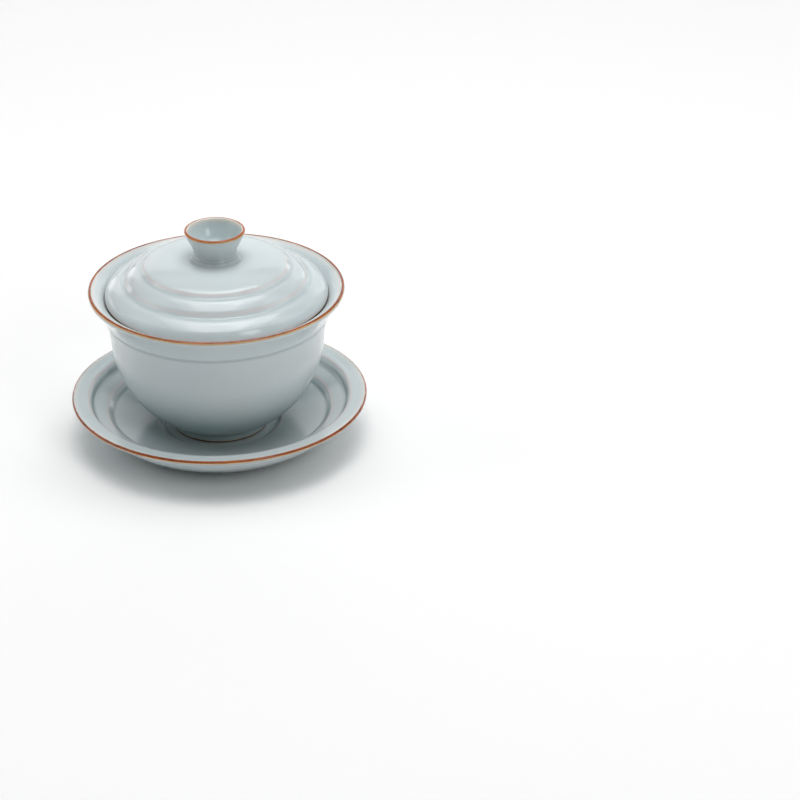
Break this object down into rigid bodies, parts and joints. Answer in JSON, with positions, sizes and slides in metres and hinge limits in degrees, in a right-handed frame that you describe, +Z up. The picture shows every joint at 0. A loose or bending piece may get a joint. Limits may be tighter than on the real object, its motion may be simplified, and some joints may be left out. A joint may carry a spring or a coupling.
{
  "type": "gaiwan",
  "caption": "Lidded tea bowl on a footed saucer: a flared bowl, a stepped domed lid with a cup-shaped knob, pale glaze and brown-dressed lips.",
  "frame": {"origin": "centre of the saucer's foot ring, on the surface it stands on", "axes": "+Z up along the common axis of saucer, bowl, lid and knob; X and Y are free, because every piece is turned"},
  "size_m": [0.123, 0.123, 0.0933],
  "materials": {
    "celadon_glaze": "soft semi-gloss pale blue-green celadon glaze, thinner and pinkish along the edges",
    "iron_brown_lip": "satin iron-brown dressed lip under a thin glaze"
  },
  "bodies": {
    "saucer": {"saucer": "celadon_glaze", "saucer_rim": "iron_brown_lip"},
    "bowl": {"bowl": "celadon_glaze", "bowl_rim": "iron_brown_lip"},
    "lid": {"lid": "celadon_glaze", "lid_knob": "celadon_glaze", "knob_rim": "iron_brown_lip"}
  },
  "joints": [
    {"name": "bowl_lift", "type": "slide", "parent": "saucer", "child": "bowl", "axis": [0, 0, 1], "range_m": [0, 0.06]},
    {"name": "lid_lift", "type": "slide", "parent": "bowl", "child": "lid", "axis": [0, 0, 1], "range_m": [0, 0.05]}
  ]
}
